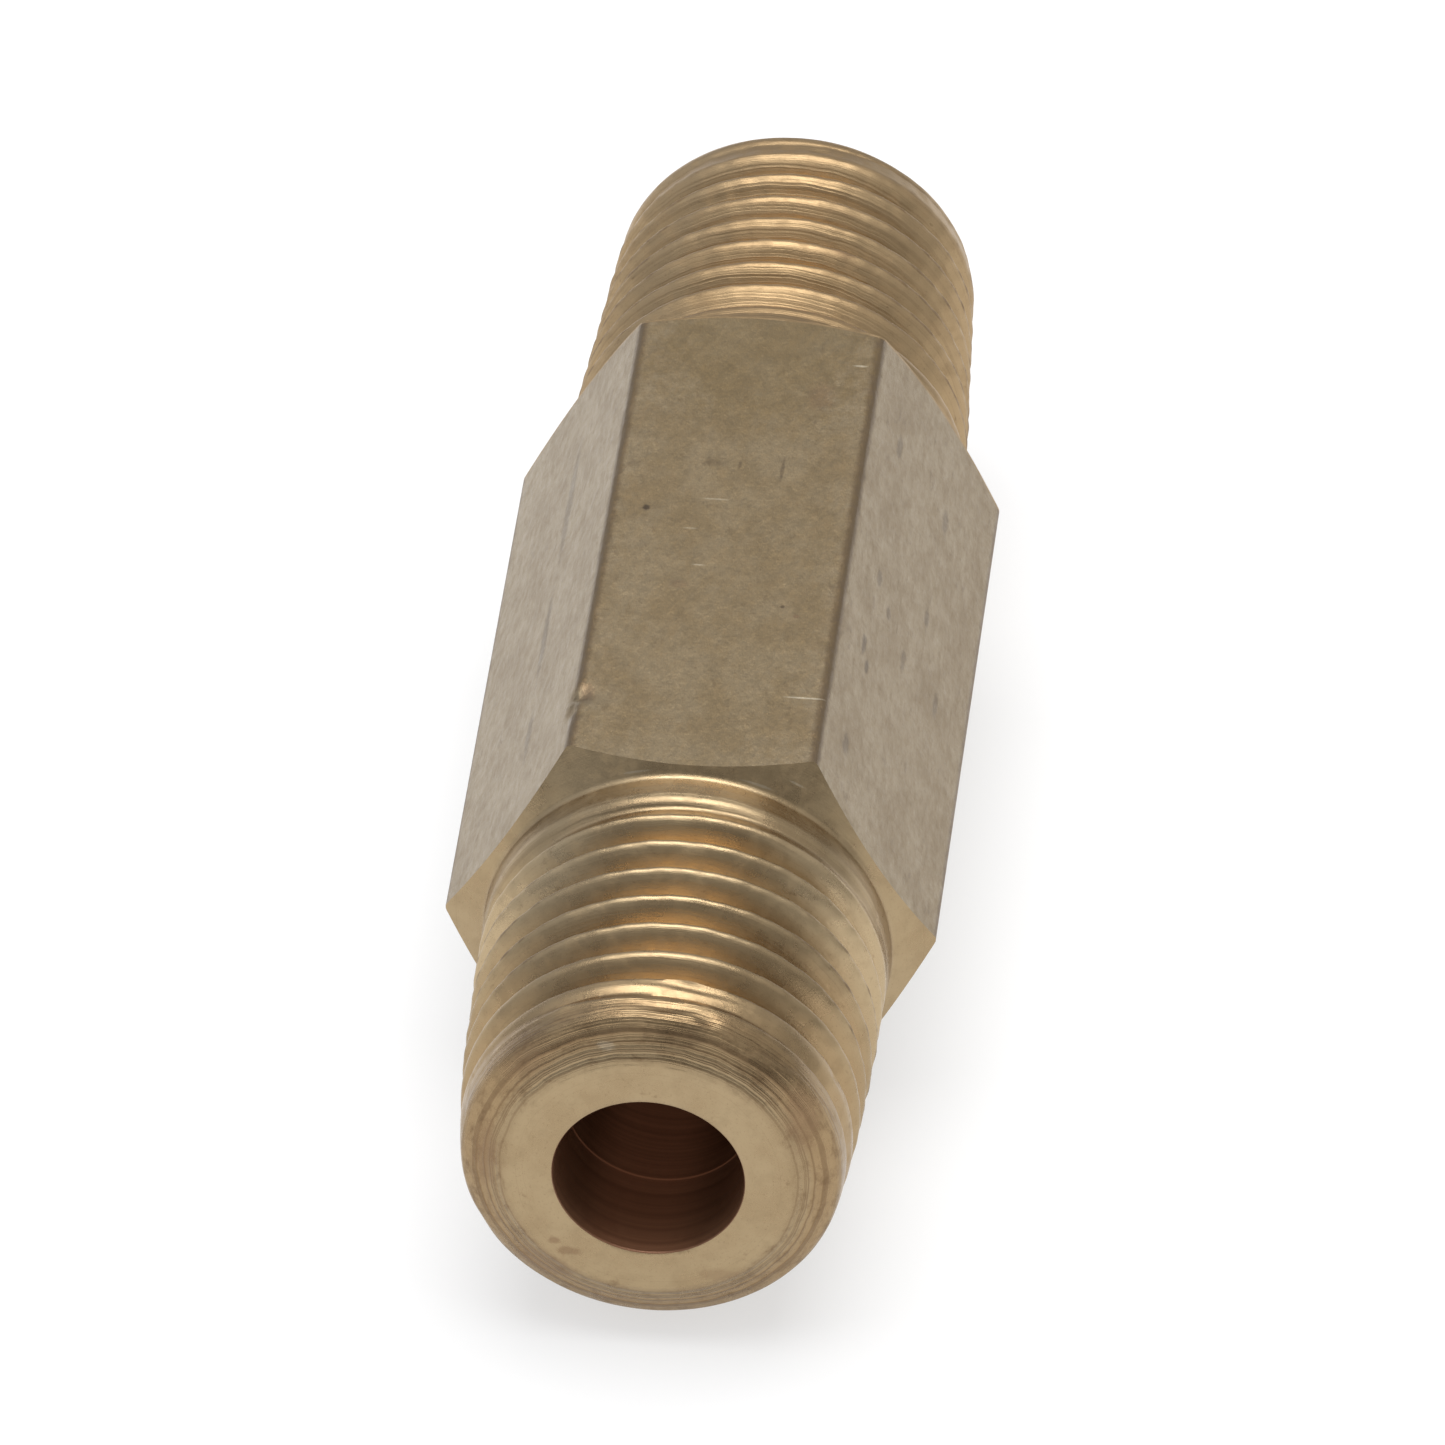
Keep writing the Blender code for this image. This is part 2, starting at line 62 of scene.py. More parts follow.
BODY_LOW, BODY_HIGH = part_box("valve_body")
HALF_LENGTH = BODY_HIGH.y
APOTHEM = BODY_HIGH.z
HEX_EDGE_RADIUS = 0.29 * MM
FLAT_END = 12.52 * MM
CHAMFER_SLOPE = 0.61
FILLET_RADIUS = 0.28 * MM
FILLET_STEPS = 7
SHANK_SHARES = (0.4, 0.9)
CONE_SHARES = (0.45, 0.85, 1.0)
# Radii of the rows on each end face, and rows along the flats, from their ends inward; in mm.
FACE_RINGS = (3.45, 3.8, 4.2, 4.52, 4.62)
FLAT_ROWS = (0.10, 0.35, 1.0, 1.7, *np.arange(2.0, 4.4, 0.22), 5.0, 6.5, 8.5, 10.5)
THREAD_PITCH = 25.4 / 18 * MM
FLANK_SLOPE = math.sqrt(3)
FACE_RADIUS = 4.66 * MM
LEAD_TAPER = 0.105
NOSE_ROUND = 0.25 * MM
NOSE_BLEND = 0.06 * MM
NOSE_LIP = 0.011 * MM
RUN_OUT_ROUND = 0.40 * MM
CREST_LUMPS = 0.009 * MM
RIDGE_WIDTH = 0.13 * MM
FLANK_BLEND = 0.05 * MM
RUN_OUT_BLEND = 0.40 * MM
THREAD_START = (1.3 * MM, 2.9 * MM)
THREAD_START_SHARE = 0.15
DENT_FREE_EDGE = 0.3 * MM
ANGLE_STEP = 1.6
CORNER_OFFSETS = (0.35, 0.75)
RUN_OUT_RISE = 1.04
# Waves that the worn crests carry: how many go round, and how far each shifts along the thread.
CREST_WAVES = ((19, 2.0), (47, -3.1), (7, 1.0))
PER_NANOMETRE = 1e9
SHARP_ANGLE = math.radians(50)


def smoothstep(low, high, value):
    share = np.clip((value - low) / (high - low), 0.0, 1.0)
    return share * share * (3.0 - 2.0 * share)


def soft_min(a, b, width):
    return 0.5 * (a + b - np.sqrt((a - b) ** 2 + width * width))


def hex_radius(theta):
    """Radius of the rounded hexagon at an angle from its top flat's normal."""
    from_flat = np.abs((theta + math.pi / 6) % (math.pi / 3) - math.pi / 6)
    corner = (APOTHEM - HEX_EDGE_RADIUS) / math.cos(math.pi / 6)
    from_corner = math.pi / 6 - from_flat
    arc = corner * np.cos(from_corner) + np.sqrt(
        np.maximum(HEX_EDGE_RADIUS**2 - (corner * np.sin(from_corner)) ** 2, 0.0)
    )
    flat_until = math.atan((1 - HEX_EDGE_RADIUS / APOTHEM) * math.tan(math.pi / 6))
    return np.where(from_flat <= flat_until, APOTHEM / np.cos(from_flat), arc)


def angles():
    """Angles round the flow axis: even steps, with closer ones at the hexagon's six corners."""
    even = np.radians(np.arange(0.0, 360.0, ANGLE_STEP))
    extra = [
        math.radians(30 + 60 * k + side * offset)
        for k in range(6)
        for side in (-1, 1)
        for offset in CORNER_OFFSETS
    ]
    return np.sort(np.concatenate([even, extra]))


THETA = angles()


# Each threaded end: its sign along Y, its length and radius, the station of a crest at the top, the taper,
# the depths between which the thread runs out, its groove, and the nose: a chamfer and then a slow cone.
# Each dent is an angle from the top, a depth, two half-widths in degrees and mm, and a height in mm.
FRONT = {
    "side": -1,
    "length": 11.75 * MM,
    "shank": 6.80 * MM,
    "crest": -16.13 * MM,
    "taper_from": 8.9 * MM,
    "taper": 1 / 32,
    "run_out": (10.10 * MM, 11.75 * MM),
    "groove": 0.90 * MM,
    "root_round": 0.07 * MM,
    "crest_round": 0.26 * MM,
    "root_ridge": 0.0,
    "chamfer": 2.30,
    "lead_radius": 6.21 * MM,
    "dents": (
        (2, 1.45, 62, 0.09, 0.060),
        (2, 1.80, 58, 0.13, -0.13),
        (12, 2.20, 12, 0.20, -0.09),
        (0, 11.28, 42, 0.15, -0.075),
        (-16, 2.62, 7, 0.07, 0.07),
        (-9, 2.80, 3, 0.06, 0.09),
        (9, 2.45, 4, 0.08, 0.08),
        (4, 1.25, 9, 0.30, -0.16),
        (17, 0.95, 3, 0.16, -0.12),
        (-9, 0.55, 3, 0.14, 0.07),
        (31, 0.80, 9, 0.32, -0.20),
        (42, 0.95, 6, 0.22, -0.14),
        (-27, 1.55, 3, 0.12, 0.06),
        (-82, 1.20, 5, 0.18, -0.07),
        (-118, 0.90, 6, 0.15, -0.06),
        (66, 2.55, 3, 0.10, -0.08),
    ),
}
REAR = {
    "side": 1,
    "length": 12.18 * MM,
    "shank": 6.86 * MM,
    "crest": 17.69 * MM,
    "taper_from": 10.9 * MM,
    "taper": 0.060,
    "run_out": (10.0 * MM, 13.2 * MM),
    "groove": 0.25 * MM,
    "root_round": 0.16 * MM,
    "crest_round": 0.34 * MM,
    "root_ridge": 0.05 * MM,
    "chamfer": 1.75,
    "lead_radius": 6.13 * MM,
    "dents": ((7, 1.7, 3, 0.10, -0.08), (-20, 2.9, 4, 0.10, -0.05), (30, 5.4, 3, 0.12, -0.06)),
}
# Rows across one pitch, as shares of it from a crest: close at crest and root, wider on the flanks.
PITCH_ROWS = (
    *(0.0, 0.035, 0.075, 0.13, 0.22, 0.33, 0.41, 0.46),
    *(0.50, 0.54, 0.59, 0.67, 0.78, 0.87, 0.925, 0.965),
)


def nose_radius(end, depth):
    """Lead-in chamfer from the flat ring of the face, rounded into a slow cone."""
    chamfer = FACE_RADIUS + NOSE_LIP + end["chamfer"] * depth
    return soft_min(chamfer, end["lead_radius"] + LEAD_TAPER * depth, NOSE_ROUND)


def dented(end, depth):
    """Height of the dents and burrs at a depth, for every angle."""
    height = np.zeros_like(depth)
    for angle, at, half_angle, half_length, amount in end["dents"]:
        away = (THETA - math.radians(angle) + math.pi) % TAU - math.pi
        across = (away / math.radians(half_angle)) ** 2
        height += amount * MM * np.exp(-across - ((depth / MM - at) / half_length) ** 2)
    return height


def thread_radius(end, depth, phase):
    """Radius of the threaded end at a depth and at a place within the pitch, 0 being a crest."""
    turns = depth / THREAD_PITCH
    lumps = sum(np.sin(around * THETA + along * turns) for around, along in CREST_WAVES)
    crest = end["shank"] - end["taper"] * np.maximum(end["taper_from"] - depth, 0.0)
    from_crest = np.abs((phase + 0.5) % 1.0 - 0.5) * THREAD_PITCH
    from_root = 0.5 * THREAD_PITCH - from_crest
    fade = smoothstep(*end["run_out"], depth)
    root_round = end["root_round"] + fade * RUN_OUT_ROUND
    top_round = end["crest_round"]
    fall = FLANK_SLOPE * (np.sqrt(from_crest**2 + top_round**2) - top_round)
    started = THREAD_START_SHARE + (1 - THREAD_START_SHARE) * smoothstep(*THREAD_START, depth)
    worn = crest - (CREST_LUMPS * (len(CREST_WAVES) + lumps) + fall * started) * (1.0 - fade)
    groove = (
        crest
        - end["groove"] * (1.0 - RUN_OUT_RISE * fade) * started
        + FLANK_SLOPE * (np.sqrt(from_root**2 + root_round**2) - root_round)
        + end["root_ridge"] * np.exp(-((from_root / RIDGE_WIDTH) ** 2)) * (1.0 - fade)
    )
    threaded = soft_min(worn, groove, FLANK_BLEND + RUN_OUT_BLEND * fade * (1.0 - fade))
    edge = np.clip(np.minimum(depth, end["length"] - depth) / DENT_FREE_EDGE, 0.0, 1.0)
    return soft_min(threaded, nose_radius(end, depth), NOSE_BLEND) + dented(end, depth) * edge


def helical_rows(end):
    """Rows that climb with the thread, so that every crest is one row, held between two flat circles."""
    low, high = sorted(end["side"] * reach for reach in (HALF_LENGTH, HALF_LENGTH - end["length"]))
    turn = THETA / TAU
    first = math.floor((low - end["crest"]) / THREAD_PITCH) - 2
    last = math.ceil((high - end["crest"]) / THREAD_PITCH) + 1
    rows = []
    for whole in range(first, last + 1):
        for part in PITCH_ROWS:
            station = end["crest"] + (whole + part + turn) * THREAD_PITCH
            held = np.clip(station, low, high)
            depth = HALF_LENGTH - np.abs(held)
            phase = (held - end["crest"]) / THREAD_PITCH - turn
            rows.append((held, thread_radius(end, depth, phase)))
    return rows


# Nicks in a long edge: as the dents above, with a distance forward of the middle in place of the depth.
NICKS = ((330.3, 9.05, 2.2, 0.34, -0.26), (329.0, 9.85, 1.6, 0.24, -0.12), (327.2, 9.35, 1.2, 0.26, 0.09))


def even_row(station, radius):
    return np.full_like(THETA, station), np.full_like(THETA, radius)


def nicked(station):
    """Nicks in the long edge left of the top flat."""
    height = np.zeros_like(THETA)
    for angle, at, half_angle, half_length, amount in NICKS:
        across = ((THETA - math.radians(angle)) / math.radians(half_angle)) ** 2
        height += amount * MM * np.exp(-across - ((station / MM - at) / half_length) ** 2)
    return height


def hexagon_rows(end):
    """Shank, fillet, end chamfer and half of the hexagon, from the thread's run-out to the middle."""
    side, shank = end["side"], end["shank"]
    outline = hex_radius(THETA)
    edge = FLAT_END - CHAMFER_SLOPE * (outline - APOTHEM)
    foot = FLAT_END + CHAMFER_SLOPE * (APOTHEM - shank)
    cone_angle = math.atan2(1.0, CHAMFER_SLOPE)
    tangent = foot + FILLET_RADIUS * math.tan(cone_angle / 2)
    start = HALF_LENGTH - end["length"]
    rows = [even_row(side * (start + (tangent - start) * share), shank) for share in SHANK_SHARES]
    for step in range(FILLET_STEPS + 1):
        angle = cone_angle * step / FILLET_STEPS
        station = tangent - FILLET_RADIUS * math.sin(angle)
        rows.append(even_row(side * station, shank + FILLET_RADIUS * (1 - math.cos(angle))))
    inner = shank + FILLET_RADIUS * (1 - math.cos(cone_angle))
    for share in CONE_SHARES:
        radius = inner + (outline - inner) * share
        rows.append((side * (foot - CHAMFER_SLOPE * (radius - shank)), radius))
    turned = len(rows)
    for inward in FLAT_ROWS:
        station = edge - inward * MM
        rows.append((side * station, outline + (nicked(station) if side < 0 else 0.0)))
    return rows[:turned], rows[turned:]


def bore_rows():
    """The way through, from the rear port to the front one, as (station, radius) in mm."""
    steps = [
        (25.40, 3.32),
        (25.28, 3.20),
        (24.6, 3.20),
        (22.12, 3.20),
        (22.11, 3.57),
        (21.39, 3.57),
        (21.38, 3.20),
        (18.5, 3.20),
        (15.52, 3.20),
        (15.44, 3.00),
        (11.0, 3.00),
        (7.0, 3.00),
        (4.40, 3.00),
        (4.39, 2.75),
        (0.0, 2.75),
        (-4.49, 2.75),
        (-4.50, 1.60),
        (-5.40, 1.60),
        (-6.28, 3.07),
        (-6.40, 3.12),
        (-9.0, 3.12),
        (-12.0, 3.12),
        (-15.0, 3.12),
        (-18.0, 3.12),
        (-21.58, 3.12),
        (-21.60, 3.13),
        (-21.62, 3.15),
        (-22.5, 3.14),
        (-23.5, 3.14),
        (-24.5, 3.14),
        (-25.32, 3.14),
        (-25.345, 3.15),
        (-25.385, 3.17),
        (-25.40, 3.19),
    ]
    return [even_row(station * MM, radius * MM) for station, radius in steps]


FLATS, TURNED, BORED = 0, 1, 2


def body_mesh():
    """One closed skin: a loop of rows from the front face over the outside to the rear and back through."""
    front_turned, front_flats = hexagon_rows(FRONT)
    rear_turned, rear_flats = hexagon_rows(REAR)
    strips = [  # rows, whether they climb with the thread, and the finish
        ([even_row(-HALF_LENGTH, radius * MM) for radius in FACE_RINGS], False, TURNED),
        (helical_rows(FRONT), True, TURNED),
        (front_turned, False, TURNED),
        (front_flats, False, FLATS),
        (rear_flats[::-1], False, FLATS),
        (rear_turned[::-1], False, TURNED),
        (helical_rows(REAR), True, TURNED),
        ([even_row(HALF_LENGTH, radius * MM) for radius in reversed(FACE_RINGS)], False, TURNED),
        (bore_rows(), False, BORED),
    ]
    around = len(THETA)
    points, faces, finishes, index = [], [], [], {}

    def point(station, radius, column):
        key = (round(station * PER_NANOMETRE), round(radius * PER_NANOMETRE), column)
        if key not in index:
            index[key] = len(points)
            angle = THETA[column]
            points.append((radius * math.sin(angle), station, radius * math.cos(angle)))
        return index[key]

    def add(corners, finish):
        ring = list(dict.fromkeys(corners))
        if len(ring) > 2:
            faces.append(ring)
            finishes.append(finish)

    grids = []
    for rows, climbs, finish in strips:
        grid = [[point(stations[c], radii[c], c) for c in range(around)] for stations, radii in rows]
        grids.append((grid, climbs, finish))
    for number, (grid, climbs, finish) in enumerate(grids):
        shift = len(PITCH_ROWS) if climbs else 0
        count = len(grid)
        for r in range(count - 1):
            here, above = grid[r], grid[r + 1]
            for c in range(around - 1):
                add((here[c], here[c + 1], above[c + 1], above[c]), finish)
            over = grid[min(r + shift, count - 1)][0]
            over_next = grid[min(r + 1 + shift, count - 1)][0]
            add((here[-1], over, over_next, above[-1]), finish)
        following = grids[(number + 1) % len(grids)]
        last, first = grid[-1], following[0][0]
        for c in range(around):
            n = (c + 1) % around
            add((last[c], last[n], first[n], first[c]), following[2])
    mesh = bpy.data.meshes.new("hex_body")
    mesh.from_pydata(points, [], faces)
    mesh.polygons.foreach_set("material_index", finishes)
    mesh.update()
    return mesh


# ------------------------------------------------------------------------------------------ materials


def node(tree, kind, values=None, **settings):
    """Adds a node. Values maps an input's name or number to a constant or to another node's output."""
    made = tree.nodes.new(kind)
    for name, value in settings.items():
        setattr(made, name, value)
    for name, value in (values or {}).items():
        if isinstance(value, bpy.types.NodeSocket):
            tree.links.new(value, made.inputs[name])
        else:
            made.inputs[name].default_value = value
    return made


def math_node(tree, operation, a, b=0.0, c=0.0):
    return node(tree, "ShaderNodeMath", {0: a, 1: b, 2: c}, operation=operation).outputs[0]


def times(tree, a, b):
    return math_node(tree, "MULTIPLY", a, b)


def ramp(tree, value, low, high, to_low=0.0, to_high=1.0):
    """A value carried smoothly from one range into another."""
    values = {"Value": value, "From Min": low, "From Max": high, "To Min": to_low, "To Max": to_high}
    made = node(tree, "ShaderNodeMapRange", values, interpolation_type="SMOOTHSTEP")
    return made.outputs["Result"]


def mix(tree, share, a, b):
    """The first colour at a share of 0, and the second at 1."""
    made = node(tree, "ShaderNodeMix", data_type="RGBA")
    for socket, value in ((0, share), (6, a), (7, b)):
        if isinstance(value, bpy.types.NodeSocket):
            tree.links.new(value, made.inputs[socket])
        elif socket == 0:
            made.inputs[socket].default_value = value
        else:
            made.inputs[socket].default_value = (*value, 1.0)
    return made.outputs[2]


def noise(tree, vector, scale, detail=4.0, roughness=0.55, dimensions="3D"):
    name = "W" if dimensions == "1D" else "Vector"
    values = {name: vector, "Scale": scale, "Detail": detail, "Roughness": roughness}
    return node(tree, "ShaderNodeTexNoise", values, noise_dimensions=dimensions).outputs["Fac"]


def material(name, roughness, metallic=1.0):
    """A material with its Principled shader, and the object's coordinates in millimetres."""
    made = bpy.data.materials.new(name)
    made.use_nodes = True
    tree = made.node_tree
    shader = tree.nodes["Principled BSDF"]
    shader.inputs["Metallic"].default_value = metallic
    shader.inputs["Roughness"].default_value = roughness
    where = node(tree, "ShaderNodeTexCoord").outputs["Object"]
    scaled = node(tree, "ShaderNodeVectorMath", {0: where}, operation="SCALE")
    scaled.inputs["Scale"].default_value = 1 / MM
    return made, tree, shader, scaled.outputs[0]


def stretched(tree, vector, scale):
    return node(tree, "ShaderNodeVectorMath", {0: vector, 1: scale}, operation="MULTIPLY").outputs[0]


def axes(tree, vector):
    """The three coordinates, and the distance from the flow axis."""
    split = node(tree, "ShaderNodeSeparateXYZ", {0: vector})
    squares = [math_node(tree, "MULTIPLY", split.outputs[k], split.outputs[k]) for k in (0, 2)]
    radius = math_node(tree, "SQRT", math_node(tree, "ADD", *squares))
    return split, radius


def bumped(tree, shader, height, strength, distance, after=None):
    values = {"Height": height, "Strength": strength, "Distance": distance}
    if after is not None:
        values["Normal"] = after
    made = node(tree, "ShaderNodeBump", values).outputs["Normal"]
    tree.links.new(made, shader.inputs["Normal"])
    return made


def spot(tree, place, centre, size, ragged=0.75):
    """1 within a ragged ellipsoid round a point, fading to 0 outside it; all in mm."""
    offset = node(tree, "ShaderNodeVectorMath", {0: place, 1: centre}, operation="SUBTRACT").outputs[0]
    scaled = node(tree, "ShaderNodeVectorMath", {0: offset, 1: size}, operation="DIVIDE").outputs[0]
    away = node(tree, "ShaderNodeVectorMath", {0: scaled}, operation="LENGTH").outputs["Value"]
    rough = math_node(tree, "MULTIPLY_ADD", noise(tree, place, 3.0, 5.0, 0.7), 2.0 * ragged, -ragged)
    return ramp(tree, math_node(tree, "ADD", away, rough), 0.45, 1.15, 1.0, 0.0)


def spotted(tree, place, colour, spots):
    """Lays stains, pits, scratches and patches of painted shade over a colour: each a centre, a size, a
    strength and a colour.
    """
    for centre, size, strength, stain in spots:
        share = times(tree, spot(tree, place, centre, size), strength)
        colour = mix(tree, share, colour, stain)
    return colour


# Stations in mm at which each finish and each painted light of the turned ends sets in, counted from the
# middle to its own end, and radii in mm for the nose and for the grooves of the near thread, where a glow is
# painted.
NOSE_FROM, NOSE_OUTSIDE = (23.4, 24.6), (4.58, 4.90)
SHANK_FROM, SHANK_UNTIL = (13.2, 13.6), (15.1, 14.7)
SHOULDER_FROM, SHOULDER_UNTIL = (13.9, 14.6), (18.6, 16.6)
REAR_FROM = (10.0, 13.0)
GROOVE_FROM, GROOVE_UNTIL = (5.2, 5.5), (6.75, 6.25)
# The crests of both ends are at one level, in mm, once the taper is taken out and the rear moved down.
CREST_LEVEL = (7.258, 7.290)
FRONT_CREST_FROM, REAR_CREST_FROM = (14.4, 15.4), (13.0, 14.0)
REAR_CREST_OFFSET = 0.414
# A lighter colour for the painted sheen on the tops.
SHEEN_BRASS = (0.57, 0.44, 0.27)
# A dark colour for the painted shade on the crests at the sides.
CREST_SHADE = (0.14, 0.090, 0.050)


def crest_level(tree, station, radius, begins, taper):
    """Radius in mm with the taper taken out, and 0 short of the thread."""
    return times(tree, ramp(tree, station, *begins), math_node(tree, "MULTIPLY_ADD", station, taper, radius))


def turned_brass(name, base, light, dark, groove_glow, marks=1.0, spots=()):
    """Brass off the lathe: rings of the tool, soft tarnish, scoring, and painted light: a glow in the
    grooves, a sheen on top, shade on side crests.
    """
    made, tree, shader, place = material(name, 0.3)
    split, radius = axes(tree, place)
    station, upward = split.outputs[1], split.outputs[2]
    wobble = times(tree, noise(tree, place, 0.8, 2.0), 0.22)
    across = math_node(tree, "ADD", math_node(tree, "ADD", station, radius), wobble)
    rings = noise(tree, across, 9.0, 6.0, 0.75, "1D")
    cloud = noise(tree, place, 0.55, 5.0, 0.6)
    grain = noise(tree, place, 14.0, 5.0, 0.65)
    nicks = noise(tree, stretched(tree, place, (1.3, 4.0, 1.3)), 1.0, 6.0, 0.75)
    forward = times(tree, station, -1.0)
    nose = times(tree, ramp(tree, forward, *NOSE_FROM), ramp(tree, radius, *NOSE_OUTSIDE))
    shank = times(tree, ramp(tree, forward, *SHANK_UNTIL), ramp(tree, forward, *SHANK_FROM))
    rear = ramp(tree, station, *REAR_FROM)
    worn = math_node(tree, "ADD", nose, times(tree, shank, 0.25))
    worn = math_node(tree, "MULTIPLY_ADD", rear, 0.30, worn)
    rear_radius = math_node(tree, "SUBTRACT", radius, REAR_CREST_OFFSET)
    level = math_node(
        tree,
        "MAXIMUM",
        crest_level(tree, forward, radius, FRONT_CREST_FROM, FRONT["taper"]),
        crest_level(tree, station, rear_radius, REAR_CREST_FROM, REAR["taper"]),
    )
    # Painted shade: the crests darkened on the sides, away from the top.
    broken = ramp(tree, noise(tree, place, 1.7, 4.0, 0.6), 0.38, 0.56, 0.14, 0.50)
    shaded_crests = times(tree, ramp(tree, level, *CREST_LEVEL), ramp(tree, upward, 6.1, 5.0))
    shaded_crests = times(tree, shaded_crests, broken)
    # Painted reflection: a warm glow in the grooves of the near thread and over the far thread, for light
    # the brass passes between its own flanks.
    deep = times(tree, ramp(tree, radius, *GROOVE_FROM), ramp(tree, radius, *GROOVE_UNTIL))
    colour = mix(tree, ramp(tree, cloud, 0.35, 0.65), base, light)
    groove_glow_share = math_node(tree, "MAXIMUM", times(tree, deep, 0.40), times(tree, rear, 0.55))
    colour = mix(tree, groove_glow_share, colour, groove_glow)
    # Painted highlight: a lighter sheen on the top of the shoulder and of the far thread, where the overhead
    # light falls.
    shoulder = times(tree, ramp(tree, forward, *SHOULDER_UNTIL), ramp(tree, forward, *SHOULDER_FROM))
    painted_sheen = times(tree, shoulder, ramp(tree, upward, 6.2, 5.2, 0.0, 0.60))
    painted_rear_sheen = times(tree, rear, ramp(tree, upward, 6.4, 5.4, 0.0, 0.22))
    colour = mix(tree, math_node(tree, "MAXIMUM", painted_sheen, painted_rear_sheen), colour, SHEEN_BRASS)
    colour = mix(tree, ramp(tree, rings, 0.55, 0.78, 0.0, 0.30 * marks), colour, dark)
    colour = mix(tree, ramp(tree, grain, 0.56, 0.74, 0.0, 0.40), colour, dark)
    colour = mix(tree, ramp(tree, nicks, 0.60, 0.72, 0.0, 0.45 * marks), colour, dark)
    scuffed = times(tree, nose, ramp(tree, nicks, 0.46, 0.66, 0.15, 0.60))
    colour = mix(tree, scuffed, colour, dark)
    coarse = noise(tree, across, 2.6, 3.5, 0.6, "1D")
    scored = times(tree, worn, ramp(tree, coarse, 0.50, 0.60, 0.0, 0.55))
    colour = mix(tree, scored, colour, dark)
    colour = mix(tree, shaded_crests, colour, CREST_SHADE)
    colour = spotted(tree, place, colour, spots)
    tree.links.new(colour, shader.inputs["Base Color"])
    gloss = math_node(tree, "MULTIPLY_ADD", rear, 0.10, ramp(tree, cloud, 0.3, 0.7, 0.23, 0.35))
    dulled = ramp(tree, noise(tree, place, 1.5, 5.0, 0.65), 0.48, 0.64, 0.0, 0.13)
    gloss = math_node(tree, "ADD", gloss, dulled)
    tree.links.new(math_node(tree, "MULTIPLY_ADD", shaded_crests, 0.35, gloss), shader.inputs["Roughness"])
    first = bumped(tree, shader, rings, 0.35 * marks, 0.02 * MM)
    second = bumped(tree, shader, grain, 0.20, 0.02 * MM, first)
    third = bumped(tree, shader, nicks, 0.20 * marks, 0.05 * MM, second)
    bumped(tree, shader, times(tree, worn, coarse), 1.0 * marks, 0.10 * MM, third)
    return made


def drawn_brass(name, spots=()):
    """The bar's own skin: greyer, mottled and finely pitted, with dull stains, and its long edges darkened
    as painted shade.
    """
    made, tree, shader, place = material(name, 0.38)
    radius = axes(tree, place)[1]
    lines = noise(tree, stretched(tree, place, (3.4, 1.5, 3.4)), 1.0, 6.0, 0.75)
    across = noise(tree, stretched(tree, place, (1.6, 16.0, 1.6)), 1.0, 3.0, 0.7)
    along = noise(tree, stretched(tree, place, (13.0, 1.4, 13.0)), 1.0, 3.0, 0.7)
    stains = noise(tree, stretched(tree, place, (0.55, 0.35, 0.55)), 1.0, 6.0, 0.65)
    grain = noise(tree, place, 9.0, 6.0, 0.8)
    streaks = noise(tree, stretched(tree, place, (2.3, 1.0, 2.3)), 1.0, 4.0, 0.6)
    colour = mix(tree, ramp(tree, stains, 0.38, 0.62), (0.312, 0.232, 0.134), (0.370, 0.288, 0.182))
    colour = mix(tree, ramp(tree, lines, 0.50, 0.70, 0.0, 0.35), colour, (0.27, 0.19, 0.105))
    colour = mix(tree, ramp(tree, across, 0.55, 0.70, 0.0, 0.40), colour, (0.22, 0.155, 0.085))
    colour = mix(tree, ramp(tree, along, 0.55, 0.70, 0.0, 0.30), colour, (0.23, 0.165, 0.095))
    colour = mix(tree, ramp(tree, across, 0.36, 0.26, 0.0, 0.40), colour, (0.52, 0.42, 0.28))
    colour = mix(tree, ramp(tree, streaks, 0.62, 0.70, 0.0, 0.35), colour, (0.19, 0.135, 0.080))
    colour = mix(tree, ramp(tree, grain, 0.54, 0.68, 0.0, 0.6), colour, (0.19, 0.13, 0.07))
    # Painted shade: the long edges of the hexagon darker, a ragged band along each.
    ragged = math_node(tree, "MULTIPLY_ADD", noise(tree, place, 2.2, 5.0, 0.75), 0.16, -0.08)
    edge = ramp(tree, math_node(tree, "ADD", radius, ragged), 8.09, 8.19, 0.0, 0.85)
    colour = mix(tree, edge, colour, (0.17, 0.115, 0.065))
    colour = spotted(tree, place, colour, spots)
    tree.links.new(colour, shader.inputs["Base Color"])
    tree.links.new(ramp(tree, lines, 0.3, 0.7, 0.34, 0.50), shader.inputs["Roughness"])
    shader.inputs["Coat Weight"].default_value = 0.28
    shader.inputs["Coat Roughness"].default_value = 0.40
    first = bumped(tree, shader, lines, 0.35, 0.03 * MM)
    second = bumped(tree, shader, streaks, 0.45, 0.12 * MM, first)
    bumped(tree, shader, grain, 0.40, 0.03 * MM, second)
    return made


# Stations in mm of the step in the near bore, and the colour of the painted light in the bore: an emission
# that stands in for warm light passed between its walls.
STEP_FROM, STEP_UNTIL = (-21.64, -21.60), (-21.54, -21.58)
BORE_GLOW = (1.0, 0.38, 0.19)


